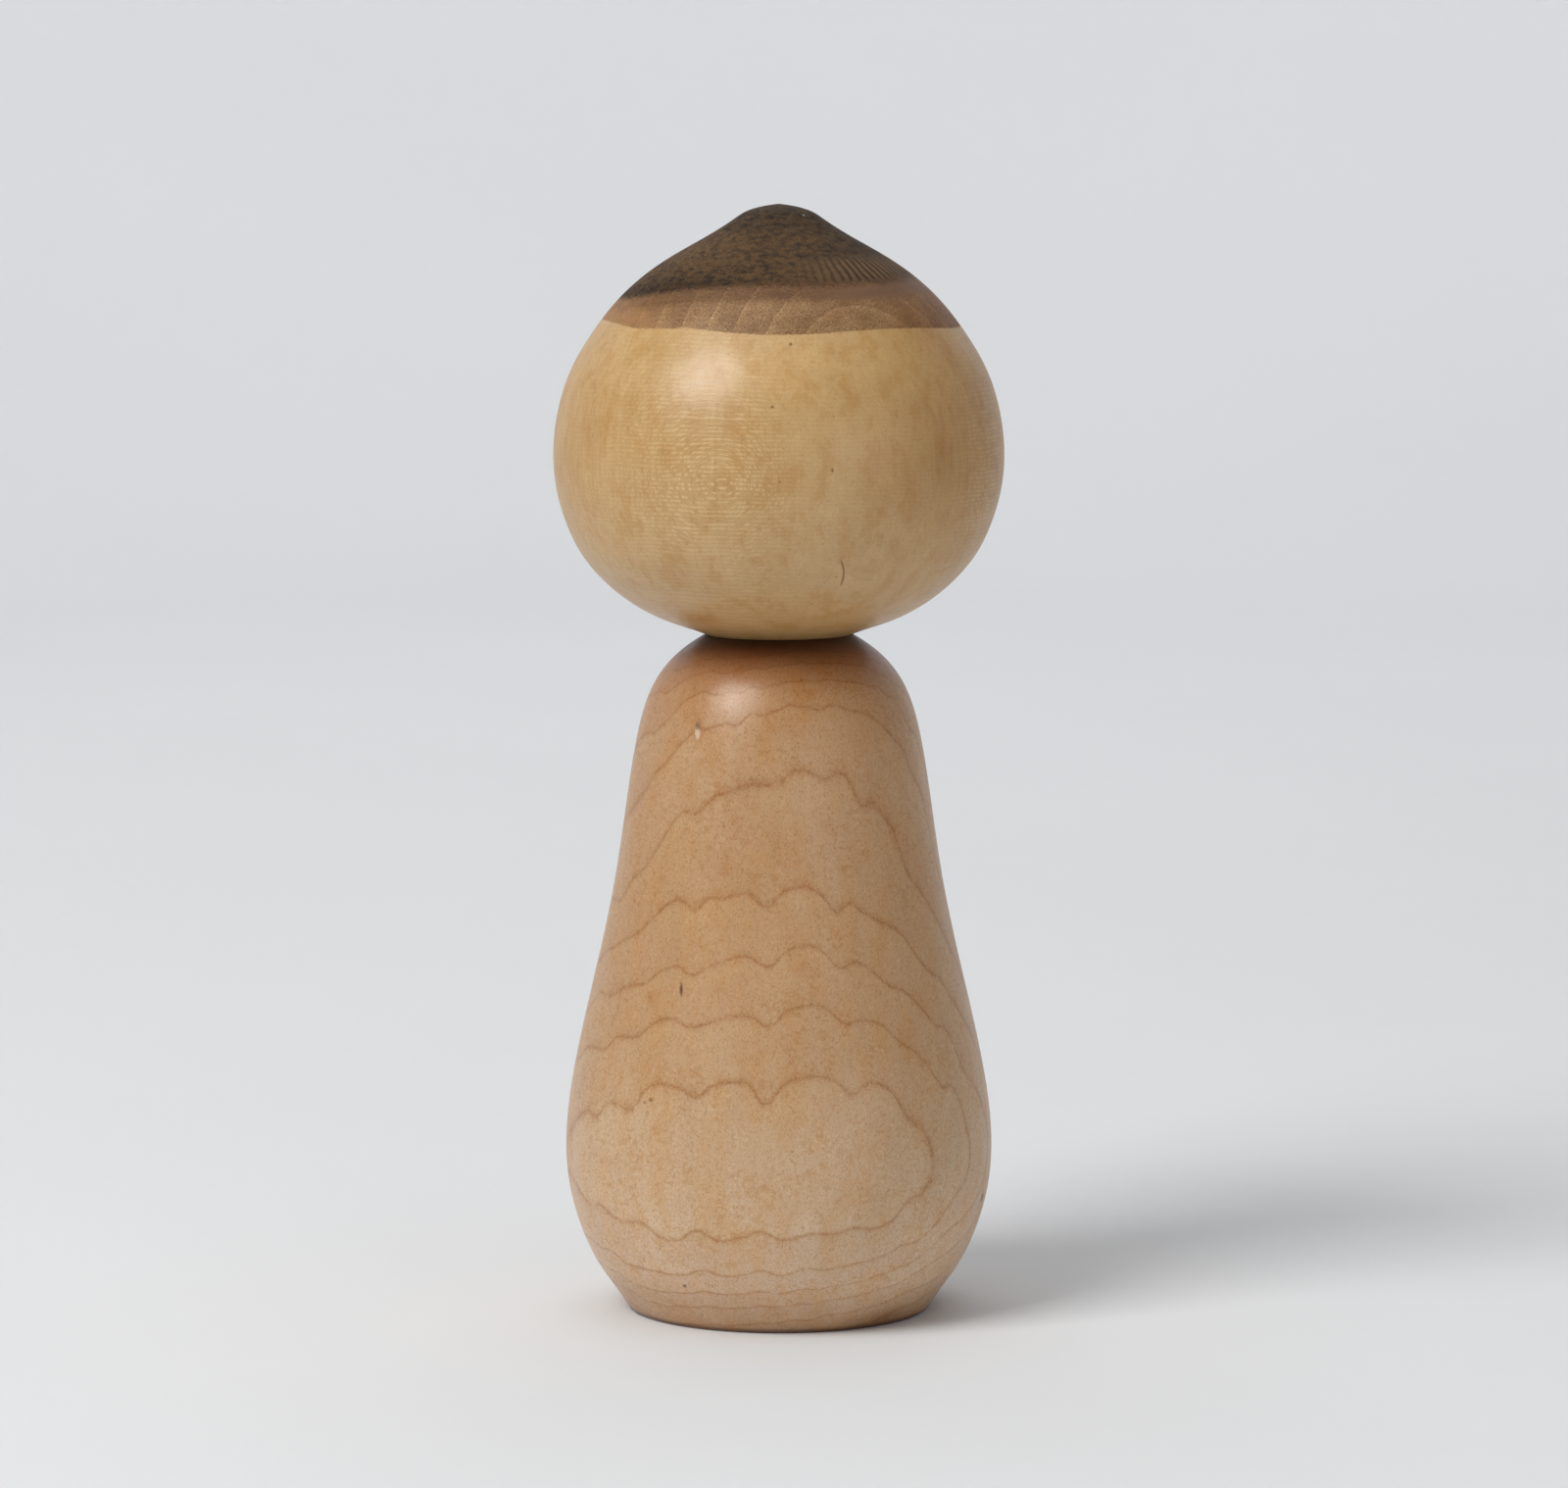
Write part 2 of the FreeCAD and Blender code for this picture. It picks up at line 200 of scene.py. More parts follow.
# ----------------------------------------------------- growth rings of the body
# The body is cut from one side of a bough, so the rings come out as nested
# loops on its front.  Each loop is given by points (arc, height), where arc is
# 30 mm times the azimuth in radians; the rings between them are interpolated.
RING_RADII = (39.9, 37.69, 35.86, 34.03, 31.69, 29.32, 27.29, 25.07)
RING_LOOPS = (
    (1, ((-41.4, 30.0), (-37.0, 33.3), (-34.4, 34.7), (-32.3, 34.9), (-30.7, 34.2),
         (-29.2, 36.3), (-26.6, 37.2), (-24.7, 37.0), (-23.2, 36.5), (-22.0, 37.8),
         (-20.9, 40.0), (-18.8, 41.3), (-17.5, 41.5), (-15.8, 41.1), (-13.8, 40.6),
         (-12.2, 39.9), (-11.6, 39.7), (-10.7, 40.9), (-8.9, 42.0), (-7.1, 42.5),
         (-4.9, 42.3), (-3.8, 41.8), (-2.9, 40.1), (-1.9, 38.6), (-1.0, 39.9), (0.0, 41.3),
         (1.1, 42.4), (2.9, 43.2), (4.3, 43.4), (6.5, 43.4), (7.9, 42.9), (9.0, 42.0),
         (9.8, 40.8), (10.4, 40.2), (11.3, 40.3), (12.2, 41.4), (13.2, 41.9), (14.7, 41.7),
         (16.3, 41.1), (17.4, 39.8), (18.5, 37.7), (19.8, 35.3), (21.3, 34.5),
         (22.5, 32.8), (23.3, 30.7), (23.6, 28.6), (23.2, 26.7), (22.5, 24.4),
         (21.5, 23.1), (19.8, 22.5), (18.5, 21.7), (17.6, 20.1), (16.3, 19.0),
         (14.4, 18.4), (12.5, 18.3), (11.1, 18.8), (9.5, 18.2), (7.7, 17.8), (5.6, 18.0),
         (4.2, 17.8), (2.5, 17.5), (0.7, 17.1), (-1.0, 17.6), (-2.0, 18.1), (-3.1, 18.4),
         (-4.1, 17.9), (-5.6, 17.3), (-7.4, 16.8), (-8.8, 16.6), (-9.9, 17.1),
         (-11.0, 17.9), (-11.9, 18.2), (-13.3, 17.4), (-15.0, 16.3), (-16.5, 15.9),
         (-17.9, 16.3), (-19.1, 17.0), (-20.3, 18.0), (-21.5, 18.6), (-23.6, 18.1),
         (-26.2, 18.3), (-28.1, 19.0), (-29.7, 20.0), (-31.5, 19.6), (-33.6, 19.7),
         (-35.4, 20.5), (-38.1, 22.1), (-40.8, 23.2),)),
    (2, ((-41.8, 42.3), (-38.7, 44.2), (-34.6, 45.1), (-31.7, 45.1), (-28.8, 47.5),
         (-25.5, 48.0), (-19.9, 51.3), (-17.6, 51.8), (-15.7, 51.2), (-13.5, 50.7),
         (-11.5, 51.3), (-9.2, 52.2), (-6.9, 52.7), (-4.9, 52.8), (-3.4, 52.2),
         (-1.8, 51.4), (-1.1, 51.2), (0.0, 52.6), (1.2, 53.6), (2.7, 54.2), (4.7, 54.5),
         (6.6, 54.4), (7.8, 53.8), (8.9, 52.6), (10.4, 51.5), (12.0, 51.6), (13.7, 51.8),
         (15.4, 51.3), (17.1, 50.5), (18.3, 49.4), (18.8, 48.3), (20.7, 47.1),
         (22.9, 45.3), (24.6, 43.5), (25.8, 41.4), (26.7, 40.1), (27.5, 39.5),
         (29.1, 40.0), (30.2, 22.7), (28.1, 20.7), (26.3, 18.5), (23.7, 16.0),
         (21.5, 15.0), (19.2, 14.8), (17.3, 13.7), (14.9, 13.0), (12.8, 12.7),
         (10.5, 12.2), (8.3, 11.8), (6.0, 11.8), (4.1, 12.1), (2.6, 11.3), (0.8, 10.9),
         (-1.1, 11.2), (-2.4, 11.8), (-4.1, 11.2), (-6.0, 10.8), (-8.0, 10.4),
         (-9.9, 10.8), (-11.4, 11.3), (-13.6, 10.6), (-15.9, 10.1), (-18.2, 9.9),
         (-20.1, 10.1), (-23.1, 10.3), (-26.4, 10.5), (-29.0, 11.6), (-33.4, 12.0),)),
    (3, ((-31.6, 54.2), (-29.7, 55.2), (-25.9, 56.3), (-23.2, 57.2), (-21.8, 58.4),
         (-19.4, 59.6), (-18.0, 60.0), (-16.4, 59.5), (-14.5, 58.7), (-13.2, 59.5),
         (-11.6, 60.4), (-9.0, 61.4), (-7.4, 61.9), (-5.7, 62.2), (-4.0, 61.7),
         (-2.8, 60.8), (-1.4, 60.7), (0.0, 61.8), (1.3, 63.1), (3.4, 63.7), (6.3, 63.7),
         (7.5, 62.8), (8.7, 61.6), (9.9, 60.4), (11.2, 60.2), (12.1, 60.9), (13.9, 60.7),
         (15.6, 59.7), (17.3, 58.2), (19.0, 56.9), (21.9, 55.7), (23.7, 54.2),
         (25.6, 52.2), (26.9, 50.5), (29.1, 49.2), (31.4, 47.3), (32.0, 44.9),
         (33.4, 41.9), (35.2, 39.6), (29.4, 16.3), (26.5, 14.3), (23.8, 12.6),
         (21.3, 11.1), (18.6, 10.6), (16.0, 10.0), (13.6, 9.1), (11.5, 8.8), (9.1, 8.6),
         (7.2, 8.2), (4.3, 8.3), (2.4, 8.2), (0.8, 7.5), (-1.1, 7.5), (-3.1, 7.9),
         (-5.1, 7.4), (-8.1, 7.1), (-10.6, 7.1), (-13.1, 7.4), (-15.7, 6.7), (-18.7, 6.5),
         (-22.0, 6.3), (-25.4, 6.5), (-28.4, 6.9), (-31.7, 8.3), (-35.2, 8.5),)),
    (4, ((-37.3, 60.9), (-32.7, 62.6), (-28.4, 64.3), (-25.5, 66.5), (-23.4, 68.3),
         (-20.8, 70.0), (-18.6, 70.6), (-16.9, 69.7), (-14.4, 69.7), (-13.5, 70.9),
         (-11.6, 71.2), (-8.4, 71.7), (-5.2, 71.9), (-3.9, 71.0), (-2.1, 69.8),
         (-0.8, 70.8), (0.9, 72.4), (3.1, 73.0), (5.4, 73.0), (7.1, 72.1), (8.5, 71.1),
         (9.7, 69.7), (10.0, 68.6), (12.6, 70.4), (14.9, 69.1), (17.3, 67.8), (19.7, 66.6),
         (22.3, 65.4), (24.3, 63.5), (26.1, 61.0), (27.6, 59.2), (31.2, 56.8),
         (33.0, 55.0), (33.0, 12.7), (29.4, 11.2), (25.1, 9.8), (21.5, 8.2), (16.9, 7.2),
         (12.6, 6.5), (8.3, 6.3), (4.2, 5.6), (0.0, 5.2), (-4.2, 5.1), (-8.6, 4.6),
         (-13.2, 4.6), (-18.5, 4.1),)),
    (5, ((-37.1, 68.5), (-34.5, 70.8), (-31.4, 73.5), (-28.5, 75.3), (-25.5, 78.7),
         (-23.8, 80.8), (-21.6, 83.5), (-19.9, 84.6), (-16.4, 84.6), (-14.4, 86.3),
         (-11.8, 87.8), (-8.8, 88.6), (-5.8, 89.3), (-1.9, 89.4), (0.5, 89.7), (2.0, 91.1),
         (4.5, 91.7), (6.5, 91.4), (8.5, 90.4), (10.6, 90.5), (13.3, 90.8), (14.8, 89.4),
         (16.2, 86.8), (16.9, 85.6), (19.0, 86.3), (21.3, 84.6), (23.5, 82.4),
         (25.1, 79.6), (26.0, 76.7), (27.5, 73.8), (30.7, 70.8),)),
    (6, ((-31.1, 88.2), (-29.7, 89.9), (-26.1, 92.1), (-23.6, 94.3), (-20.7, 96.4),
         (-15.3, 98.2), (-10.8, 98.9), (-7.5, 99.9), (-4.3, 100.5), (-1.0, 101.1),
         (1.7, 101.9), (4.5, 101.8), (8.4, 101.2), (10.8, 101.6), (14.4, 101.5),
         (17.4, 100.8), (21.2, 100.0), (23.8, 98.9), (26.3, 97.2), (29.0, 95.1),
         (31.7, 92.1), (33.9, 89.2), (36.5, 86.2),)),
    (7, ((-33.6, 96.4), (-28.5, 98.5), (-25.9, 100.4), (-23.1, 102.5), (-20.0, 103.6),
         (-15.6, 103.3), (-8.2, 103.9), (-3.5, 104.5), (0.1, 105.1), (5.0, 105.5),
         (8.8, 105.5), (14.8, 105.5), (18.3, 105.3), (22.6, 104.8), (27.2, 104.1),
         (30.9, 102.6), (33.6, 100.7), (34.3, 98.7),)),
    (8, ((-32.0, 102.8), (-29.2, 104.1), (-26.1, 105.6), (-22.4, 106.3), (-14.7, 106.6),
         (-8.1, 107.4), (-1.3, 108.0), (5.8, 108.4), (13.2, 108.3), (21.1, 107.9),
         (28.0, 107.2), (30.6, 105.6),)),
)


def bough(x, y, z):
    """Distance from the leaning centre line of the bough."""
    t = (z - 50) / 50
    return np.hypot(x - (0.91 - 1.50 * t), y - (6.94 + 1.09 * t))


def trend(arc_mm, z):
    s, t = arc_mm / 30, (z - 50) / 50
    return np.stack([np.ones_like(s), s, s * s, t, t * s, t * s * s, t * t,
                     t * t * s, s ** 3], 1)


def near(a, b, c, d):
    da, dz = (a[:, None] - c[None]) ** 2, (b[:, None] - d[None]) ** 2
    return (0.75 * np.exp(-da / 2.6 ** 2 - dz / 11.0 ** 2)
            + 0.25 * np.exp(-da / 9.0 ** 2 - dz / 14.0 ** 2))


def ring_field(points):
    """Ring number of every point: whole at a ring's dark line."""
    arcs, heights, number = [], [], []
    for k, loop in RING_LOOPS:
        for a, h in loop:
            arcs.append(a), heights.append(h), number.append(k - 1)
    arcs, heights = np.array(arcs), np.array(heights)
    outline = spline(BODY_POLES, 1200)
    radius = np.interp(heights, outline[:, 1], outline[:, 0])
    wide = np.array(RING_RADII)[number]
    short = wide - bough(radius * np.sin(arcs / 30), -radius * np.cos(arcs / 30), heights)
    weights = np.array([-0.1434, 0.6046, 0.5663, -0.0186, 0.0796, 0.0188,
                        -0.0308, 0.0101, -0.6003])
    pull = np.linalg.solve(near(arcs, heights, arcs, heights)
                           + 0.03 * np.eye(len(arcs)),
                           short - trend(arcs, heights) @ weights)
    x, y, z = points.T
    azimuth = np.arctan2(x, -y)
    arc_mm = azimuth * 30
    base = bough(x, y, z)
    front = np.clip((math.radians(112) - np.abs(azimuth)) / math.radians(34), 0, 1)
    front = front * front * (3 - 2 * front)
    held = np.clip(arc_mm, -48, 48)
    value = base + front * (trend(held, z) @ weights)
    for i in range(0, len(x), 20000):
        part = slice(i, i + 20000)
        value[part] += near(arc_mm[part], z[part], arcs, heights) @ pull
    # shallow flutes in the bough make the scalloped edges; the loops above
    # hold them for the front, and these carry them on round the back
    rng = np.random.default_rng(41)
    flute = np.zeros(len(x))
    for n in range(11, 34):
        size_ = rng.uniform(0.25, 1.0) * np.exp(-((n - 21) / 9.0) ** 2)
        flute += size_ * np.cos(n * azimuth + rng.uniform(0, 6.3)
                                + 0.5 * np.sin(z / rng.uniform(16, 34) + rng.uniform(0, 6.3)))
    slow = np.zeros(len(x))
    for n in range(1, 7):
        slow += rng.uniform(-1, 1) / n * np.cos(
            n * azimuth + rng.uniform(0, 6.3) + z / rng.uniform(30, 60))
    value += (1 - front) * (0.17 * flute + 0.35 * slow)
    # ring number from ring radius, with the same spacing carried inwards and
    # outwards from the traced rings
    known = np.array(RING_RADII)[::-1]
    inner = known[0] - np.array([2.1, 4.1, 6.3, 8.3, 10.6, 12.6, 14.9, 17.1])[::-1]
    outer = known[-1] + np.array([2.2, 4.3, 6.6, 8.6])
    radii = np.concatenate([inner, known, outer])
    return np.interp(value, radii, np.arange(len(radii), dtype=float))


# ------------------------------------------------------------------ the pieces
body_side = spline(BODY_POLES, 226)
foot_round, foot_reach = arc((24.75, 0.0), (19.0, 0.0), body_side[2], 0.7)
body_round, body_reach = arc((12.0, SEAT), body_side[-3], (6.85, SEAT), 0.5)
hollow = line((0.0, 0.9), (19.0, 0.35), 24)
hollow[1:-1, 1] += 0.035 * np.sin(hollow[1:-1, 0] * 2.1)
body, _ = lathe("body_turned", [
    hollow, line((19.0, 0.35), (19.0, 0.0), 3), line((19.0, 0.0), (24.2, 0.0), 5),
    foot_round, trim(body_side, foot_reach, body_reach), body_round,
    line((11.6, SEAT), (6.85, SEAT), 4), line((6.85, SEAT), (6.05, SEAT - 0.8), 2),
    line((6.05, SEAT - 0.8), (6.05, SEAT - 21.5), 5),
    line((6.05, SEAT - 21.5), (0.0, SEAT - 21.5 - 3.64), 3)], 352)

head_side = spline(HEAD_POLES, 226)
head_round, head_reach = arc((12.0, SEAT), (6.8, SEAT), head_side[3], 0.5)
head, _ = lathe("head_turned", [
    line((0.0, SEAT + 20.5 + 3.6), (6.02, SEAT + 20.5), 3),
    line((6.02, SEAT + 20.5), (6.02, SEAT + 0.8), 5),
    line((6.02, SEAT + 0.8), (6.8, SEAT), 2), line((6.8, SEAT), (11.6, SEAT), 4),
    head_round, trim(head_side, head_reach, 0.0), head_side[-1:]], 400)

dowel, _ = lathe("dowel_turned", [
    line((0.0, DOWEL_Z[0]), (DOWEL_R - 1.0, DOWEL_Z[0]), 6),
    line((DOWEL_R - 1.0, DOWEL_Z[0]), (DOWEL_R - 0.02, DOWEL_Z[0] + 0.98), 4),
    line((DOWEL_R - 0.02, DOWEL_Z[0] + 0.98), (DOWEL_R - 0.02, DOWEL_Z[1] - 0.98), 60),
    line((DOWEL_R - 0.02, DOWEL_Z[1] - 0.98), (DOWEL_R - 1.0, DOWEL_Z[1]), 4),
    line((DOWEL_R - 1.0, DOWEL_Z[1]), (0.0, DOWEL_Z[1]), 6)], 96)

store(body, "ring", ring_field(places(body)))

# ---- crown stain: its lower edge, and the lower edge of the darkest part,
# as height against azimuth in degrees
STAIN_EDGE = [
    (-180, 162.6), (-150, 163.0), (-120, 162.9), (-95, 163.3), (-73, 163.24),
    (-62, 162.93), (-52, 162.41), (-43, 162.45), (-34, 162.65), (-30, 162.84),
    (-23, 162.45), (-14.5, 162.09), (-7, 161.89), (1.6, 161.81), (13.6, 161.98),
    (20, 162.24), (26, 162.39), (40, 162.55), (51, 162.49), (67, 162.15),
    (75, 162.05), (95, 162.3), (120, 162.8), (150, 162.4), (180, 162.6)]
DARK_EDGE = [
    (-180, 168.6), (-150, 168.0), (-120, 167.0), (-95, 166.5), (-72, 166.93),
    (-52, 167.81), (-38, 168.7), (-13.5, 169.3), (2, 169.5), (18, 169.6),
    (48, 170.0), (62, 170.3), (80, 170.6), (110, 170.2), (145, 169.3), (180, 168.6)]


def edge_height(table, azimuth):
    table = np.array(table)
    return np.interp(np.degrees(azimuth), table[:, 0], table[:, 1])


co = places(head)
head_azimuth = np.arctan2(co[:, 0], -co[:, 1])
store(head, "stain", co[:, 2] - edge_height(STAIN_EDGE, head_azimuth))
store(head, "dark", co[:, 2] - edge_height(DARK_EDGE, head_azimuth))
# growth rings of the head round a pith that lies outside it
pith_x = 23.9 - 0.0177 * (co[:, 2] - 140.67)
pith_y = -44.1 - 0.0775 * (co[:, 2] - 140.67)
GROWTH = np.array([4.0, 8.8, 13.9, 18.6, 25.2, 30.0, 35.1, 39.5, 44.2, 49.3, 53.9,
                   58.8, 63.4, 68.5, 73.1, 78.2, 83.0, 88.1])
store(head, "growth", np.interp(np.hypot(co[:, 0] - pith_x, co[:, 1] - pith_y),
                                GROWTH, np.arange(len(GROWTH), dtype=float)))

for piece in (body, head, dowel):
    smooth(piece, 30)


# -------------------------------------------------------------- material nodes
class Wood:
    """Node helper for one material; every pattern is in object millimetres."""

    def __init__(self, name):
        self.material = bpy.data.materials.new(name)
        self.material.use_nodes = True
        self.tree = self.material.node_tree
        self.tree.nodes.clear()
        self.out = self.new("ShaderNodeOutputMaterial")
        self.shader = self.new("ShaderNodeBsdfPrincipled")
        self.tree.links.new(self.shader.outputs[0], self.out.inputs["Surface"])
        where = self.new("ShaderNodeTexCoord").outputs["Object"]
        self.place = self.vector("SCALE", where, scale=1000.0)
        split = self.new("ShaderNodeSeparateXYZ")
        self.put(split.inputs[0], self.place)
        self.x, self.y, self.z = split.outputs[:3]

    def new(self, kind, **settings):
        node = self.tree.nodes.new(kind)
        for key, value in settings.items():
            setattr(node, key, value)
        return node

    def put(self, socket, value):
        if isinstance(value, bpy.types.NodeSocket):
            self.tree.links.new(value, socket)
        elif isinstance(value, (tuple, list)) and len(value) == 3 and socket.type == "RGBA":
            socket.default_value = (*value, 1.0)
        else:
            socket.default_value = value

    def math(self, kind, a, b=None, c=None, clamp=False):
        node = self.new("ShaderNodeMath", operation=kind, use_clamp=clamp)
        for socket, value in zip(node.inputs, (a, b, c)):
            if value is not None:
                self.put(socket, value)
        return node.outputs[0]

    def add(self, a, b):
        return self.math("ADD", a, b)

    def sub(self, a, b):
        return self.math("SUBTRACT", a, b)

    def mul(self, a, b, clamp=False):
        return self.math("MULTIPLY", a, b, clamp=clamp)

    def vector(self, kind, a, b=None, scale=None):
        node = self.new("ShaderNodeVectorMath", operation=kind)
        self.put(node.inputs[0], a)
        if b is not None:
            self.put(node.inputs[1], b)
        if scale is not None:
            self.put(node.inputs["Scale"], scale)
        return node.outputs[0]

    def join(self, x, y, z):
        node = self.new("ShaderNodeCombineXYZ")
        for socket, value in zip(node.inputs, (x, y, z)):
            self.put(socket, value)
        return node.outputs[0]

    def attribute(self, name):
        node = self.new("ShaderNodeAttribute", attribute_name=name)
        return node.outputs["Fac"]

    def step(self, value, low, high, kind="SMOOTHSTEP", to=(0.0, 1.0)):
        node = self.new("ShaderNodeMapRange", interpolation_type=kind)
        self.put(node.inputs[0], value)
        for socket, number in zip(node.inputs[1:5], (low, high, to[0], to[1])):
            self.put(socket, number)
        return node.outputs[0]

    def noise(self, size, detail=2.0, rough=0.5, place=None, shift=0.0, twist=0.0):
        """Noise whose cells are size (x, y, z) millimetres."""
        place = self.place if place is None else place
        if not isinstance(size, (tuple, list)):
            size = (size, size, size)
        where = self.vector("MULTIPLY", place, tuple(1.0 / s for s in size))
        if shift:
            where = self.vector("ADD", where, (shift, shift * 1.7, shift * -0.6))
        node = self.new("ShaderNodeTexNoise", noise_dimensions="3D")
        self.put(node.inputs["Vector"], where)
        node.inputs["Scale"].default_value = 1.0
        node.inputs["Detail"].default_value = detail
        node.inputs["Roughness"].default_value = rough
        node.inputs["Distortion"].default_value = twist
        return node.outputs[0]

    def cells(self, size, place=None, jitter=1.0, kind="F1", output="Distance"):
        place = self.place if place is None else place
        if not isinstance(size, (tuple, list)):
            size = (size, size, size)
        where = self.vector("MULTIPLY", place, tuple(1.0 / s for s in size))
        node = self.new("ShaderNodeTexVoronoi", feature=kind)
        self.put(node.inputs["Vector"], where)
        node.inputs["Scale"].default_value = 1.0
        node.inputs["Randomness"].default_value = jitter
        return node.outputs[output]

    def ramp(self, value, stops, kind="LINEAR"):
        """stops: (position, colour); colours may pass 1 and are kept by a gain."""
        top = max(max(colour) for _, colour in stops)
        gain = max(1.0, top)
        node = self.new("ShaderNodeValToRGB")
        self.put(node.inputs[0], value)
        bar = node.color_ramp
        bar.interpolation = kind
        while len(bar.elements) > 1:
            bar.elements.remove(bar.elements[-1])
        for index, (position, colour) in enumerate(stops):
            element = bar.elements[0] if index == 0 else bar.elements.new(position)
            element.position = position
            element.color = (*[c / gain for c in colour], 1.0)
        if gain == 1.0:
            return node.outputs[0]
        return self.vector("SCALE", node.outputs[0], scale=gain)

    def mix(self, amount, a, b, kind="MIX"):
        node = self.new("ShaderNodeMix", data_type="RGBA", blend_type=kind)
        node.clamp_result = False
        self.put(node.inputs[0], amount)
        self.put(node.inputs[6], a)
        self.put(node.inputs[7], b)
        return node.outputs[2]

    def tint(self, colour, amount, factor):
        """colour times factor (r, g, b), in proportion to amount."""
        return self.mix(amount, colour, factor, "MULTIPLY")

    def bump(self, height, distance_mm, strength=1.0):
        node = self.new("ShaderNodeBump")
        node.inputs["Strength"].default_value = strength
        node.inputs["Distance"].default_value = distance_mm * MM
        self.put(node.inputs["Height"], height)
        return node.outputs[0]

    def spot(self, centre, size, soft=1.0):
        """1 inside an ellipsoid, falling to 0 at its edge."""
        where = self.vector("SUBTRACT", self.place, centre)
        where = self.vector("MULTIPLY", where, tuple(1.0 / s for s in size))
        node = self.new("ShaderNodeVectorMath", operation="LENGTH")
        self.put(node.inputs[0], where)
        return self.step(node.outputs["Value"], 1.0, 1.0 - soft)


def srgb(r, g, b):
    return tuple(c / 255 / 12.92 if c <= 10 else ((c / 255 + 0.055) / 1.055) ** 2.4
                 for c in (r, g, b))


# --- body: maple, closed grain, waxed
w = Wood("body_maple")
w.shader.inputs["IOR"].default_value = 1.52
u = w.attribute("ring")
wander = w.add(w.mul(w.sub(w.noise((0.9, 0.9, 1.3), 2.0), 0.5), 0.06),
               w.mul(w.sub(w.noise((0.32, 0.32, 0.32), 1.0, shift=9.2), 0.5), 0.045))
phase = w.math("FRACT", w.add(w.add(u, 0.5), wander))
ring = w.ramp(phase, [
    (0.0, (1.01, 1.015, 1.015)), (0.26, (1.0, 1.0, 1.005)), (0.38, (0.98, 0.97, 0.965)),
    (0.435, (0.955, 0.925, 0.88)), (0.478, (0.85, 0.74, 0.59)), (0.497, (0.72, 0.55, 0.36)),
    (0.509, (0.75, 0.58, 0.395)), (0.534, (0.92, 0.855, 0.755)), (0.575, (1.01, 1.01, 0.99)),
    (0.66, (1.035, 1.05, 1.045)),
    (0.80, (1.02, 1.03, 1.02)), (0.93, (1.005, 1.005, 1.0)), (1.0, (1.01, 1.015, 1.015))])
base = w.mix(w.step(w.noise((9, 9, 26), 3.0, 0.55), 0.30, 0.70),
             (0.436, 0.282, 0.164), (0.470, 0.318, 0.194))
colour = w.mix(w.step(w.noise((4.2, 4.2, 9.0), 3.0, 0.6, shift=3.1), 0.42, 0.68),
               base, (0.452, 0.275, 0.140))
# the wood is redder where hands turn the head; round the belly it is paler, partly paler wood and
# partly a painted reflection of the bright floor; at the very foot it is a little darker, part of the
# painted contact shade; and it darkens into the crease under the head, mostly painted shade of the
# head's overhang, with some darker burnished wood
colour = w.mix(1.0, colour, w.ramp(w.mul(w.z, 1.0 / 112.0), [
    (0.0, (0.98, 0.90, 0.86)), (0.0105, (0.98, 0.90, 0.86)),
    (0.022, (1.12, 1.09, 1.10)), (0.075, (1.36, 1.44, 1.64)),
    (0.17, (1.27, 1.33, 1.43)), (0.30, (1.13, 1.14, 1.12)), (0.42, (1.04, 0.96, 0.83)),
    (0.60, (1.01, 0.905, 0.74)), (0.84, (1.01, 0.915, 0.78)), (0.92, (0.92, 0.75, 0.56)),
    (0.955, (0.70, 0.49, 0.335)), (0.975, (0.42, 0.235, 0.14)), (0.987, (0.17, 0.075, 0.035)),
    (1.0, (0.05, 0.02, 0.01))]), "MULTIPLY")
# painted contact shade: a dark line along the outer edge of the foot, where it meets the floor
from_axis = w.math("SQRT", w.add(w.mul(w.x, w.x), w.mul(w.y, w.y)))
colour = w.tint(colour, w.mul(w.step(w.z, 1.15, 0.30), w.step(from_axis, 23.6, 24.5)),
                (0.32, 0.24, 0.20))
colour = w.tint(colour, w.step(w.noise((3.4, 3.4, 5.5), 3.0, 0.65, shift=12.4), 0.56, 0.74),
                (0.97, 0.90, 0.78))
for centre, size_, factor in (
        ((16.5, -18.4, 1.4), (10.0, 9.0, 3.2), (0.72, 0.58, 0.45)),
        ((-8.6, -24.8, 76.2), (2.4, 5.0, 3.8), (0.93, 0.82, 0.66)),
        ((-20.6, -22.5, 54.6), (1.6, 4.0, 2.6), (0.90, 0.77, 0.60)),
        ((7.9, -24.0, 82.4), (1.2, 4.0, 2.6), (0.94, 0.85, 0.72)),
        ((-27.0, 14.0, 44.0), (4.0, 6.0, 9.0), (0.93, 0.84, 0.72)),
        ((9.0, 29.5, 21.0), (6.0, 6.0, 4.0), (0.92, 0.82, 0.68))):
    rough_edge = w.noise((1.4, 1.4, 2.2), 3.0, 0.7, shift=centre[0])
    colour = w.tint(colour, w.mul(w.spot(centre, size_), w.step(rough_edge, 0.25, 0.55)), factor)
# fine pores, and rays: thin upright plates that run front to back, so they are
# short ticks on the front and longer level flecks on the flanks
dash = w.noise((0.24, 1.7, 0.40), 2.0, 0.65, shift=7.3)
colour = w.tint(colour, w.step(dash, 0.50, 0.68), (0.80, 0.72, 0.60))
pale = w.noise((0.26, 1.5, 0.34), 1.0, 0.5, shift=1.9)
colour = w.tint(colour, w.step(pale, 0.52, 0.72), (1.12, 1.15, 1.19))
grains = w.noise((0.55, 0.55, 0.75), 3.0, 0.75, shift=15.0)
colour = w.tint(colour, w.step(grains, 0.50, 0.66), (0.94, 0.88, 0.79))
toasted = w.mul(w.step(w.noise((1.5, 1.5, 1.1), 3.0, 0.7, shift=71.0), 0.50, 0.64),
                w.step(w.noise((9.0, 9.0, 8.0), 2.0, shift=73.0), 0.42, 0.60))
colour = w.tint(colour, toasted, (0.92, 0.84, 0.70))
streak = w.noise((1.0, 1.0, 26.0), 3.0, 0.6, shift=5.2)
colour = w.mix(w.step(streak, 0.35, 0.65), colour, (0.975, 0.96, 0.935), "MULTIPLY")
